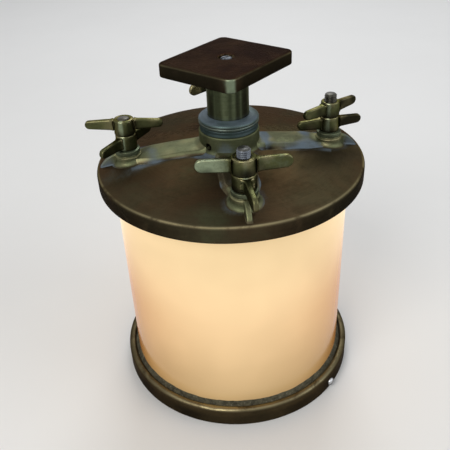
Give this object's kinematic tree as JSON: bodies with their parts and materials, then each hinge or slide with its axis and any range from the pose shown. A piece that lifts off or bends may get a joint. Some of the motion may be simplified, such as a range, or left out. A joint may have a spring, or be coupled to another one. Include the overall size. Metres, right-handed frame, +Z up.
{
  "type": "ship passageway lamp",
  "caption": "Marine passageway light: an upright opal glass cylinder between a brass base ring and a domed cast cover held by studs and wing nuts, with a stem and mounting plate on top.",
  "frame": {"origin": "on the foot's plane, under the middle of the glass cylinder", "axes": "+Z up along the glass cylinder's axis; one of the four studs stands on -Y, the front"},
  "size_m": [0.2269, 0.2334, 0.2937],
  "materials": {
    "base_brass": "cast, worn, brown patina",
    "ring_brass": "turned, dull",
    "cover_brass": "cast, dark bronze patina",
    "washer_brass": "turned, dull",
    "nut_brass": "cast, handled",
    "stem_brass": "drawn tube, olive patina",
    "collar_brass": "turned, blue-grey patina",
    "plate_brass": "cast, brown patina",
    "gold_brass": "bright",
    "steel": "zinc plated",
    "stud_steel": "dull, threaded",
    "bulb_metal": "satin",
    "opal_glass": "opal, lit from inside",
    "bulb_glass": "frosted",
    "putty": "hardened glazing putty",
    "rubber": "matt",
    "porcelain": "glazed porcelain",
    "terminal_plastic": "moulded",
    "wire_insulation": "insulated wire"
  },
  "bodies": {
    "lamp_body": {"base_ring": "base_brass", "base_plate": "ring_brass", "base_screws": "steel", "cable_bush": "rubber", "lower_putty": "putty", "glass": "opal_glass", "upper_putty": "putty", "top_ring": "ring_brass", "stud_lock_nuts": "washer_brass", "studs": "stud_steel", "cover_gasket": "rubber", "holder_bracket": "steel", "bracket_screws": "steel", "terminal_block": "terminal_plastic", "inner_wires": "wire_insulation", "lampholder": "porcelain", "holder_shell": "gold_brass", "holder_contact": "gold_brass"},
    "bulb": {"bulb_cap": "bulb_metal", "bulb_envelope": "bulb_glass"},
    "cover_assembly": {"cover": "cover_brass", "washers": "washer_brass", "stem": "stem_brass", "stem_neck_ring": "collar_brass", "stem_collar": "collar_brass", "stem_set_screw": "steel", "mounting_plate": "plate_brass", "plate_screw": "steel"},
    "front_clamp_wing": {"front_clamp_nut": "nut_brass"},
    "front_lock_wing": {"front_lock_nut": "nut_brass"},
    "right_clamp_wing": {"right_clamp_nut": "nut_brass"},
    "right_lock_wing": {"right_lock_nut": "nut_brass"},
    "back_clamp_wing": {"back_clamp_nut": "nut_brass"},
    "back_lock_wing": {"back_lock_nut": "nut_brass"},
    "left_clamp_wing": {"left_clamp_nut": "nut_brass"},
    "left_lock_wing": {"left_lock_nut": "nut_brass"}
  },
  "joints": [
    {"name": "cover_lift", "type": "slide", "parent": "lamp_body", "child": "cover_assembly", "axis": [0, 0, 1], "range_m": [0, 0.07]},
    {"name": "bulb_turn", "type": "hinge", "parent": "lamp_body", "child": "bulb", "pos_m": [0, 0, 0.045], "axis": [0, 0, 1], "continuous": true},
    {"name": "front_clamp_nut_turn", "type": "hinge", "parent": "cover_assembly", "child": "front_clamp_wing", "pos_m": [0, -0.0839, 0.23165], "axis": [0, 0, 1], "continuous": true},
    {"name": "front_lock_nut_turn", "type": "hinge", "parent": "cover_assembly", "child": "front_lock_wing", "pos_m": [0, -0.0839, 0.24435], "axis": [0, 0, 1], "continuous": true},
    {"name": "right_clamp_nut_turn", "type": "hinge", "parent": "cover_assembly", "child": "right_clamp_wing", "pos_m": [0.0839, 0, 0.23165], "axis": [0, 0, 1], "continuous": true},
    {"name": "right_lock_nut_turn", "type": "hinge", "parent": "cover_assembly", "child": "right_lock_wing", "pos_m": [0.0839, 0, 0.24435], "axis": [0, 0, 1], "continuous": true},
    {"name": "back_clamp_nut_turn", "type": "hinge", "parent": "cover_assembly", "child": "back_clamp_wing", "pos_m": [0, 0.0839, 0.23165], "axis": [0, 0, 1], "continuous": true},
    {"name": "back_lock_nut_turn", "type": "hinge", "parent": "cover_assembly", "child": "back_lock_wing", "pos_m": [0, 0.0839, 0.24435], "axis": [0, 0, 1], "continuous": true},
    {"name": "left_clamp_nut_turn", "type": "hinge", "parent": "cover_assembly", "child": "left_clamp_wing", "pos_m": [-0.0839, 0, 0.23165], "axis": [0, 0, 1], "continuous": true},
    {"name": "left_lock_nut_turn", "type": "hinge", "parent": "cover_assembly", "child": "left_lock_wing", "pos_m": [-0.0839, 0, 0.24435], "axis": [0, 0, 1], "continuous": true}
  ]
}
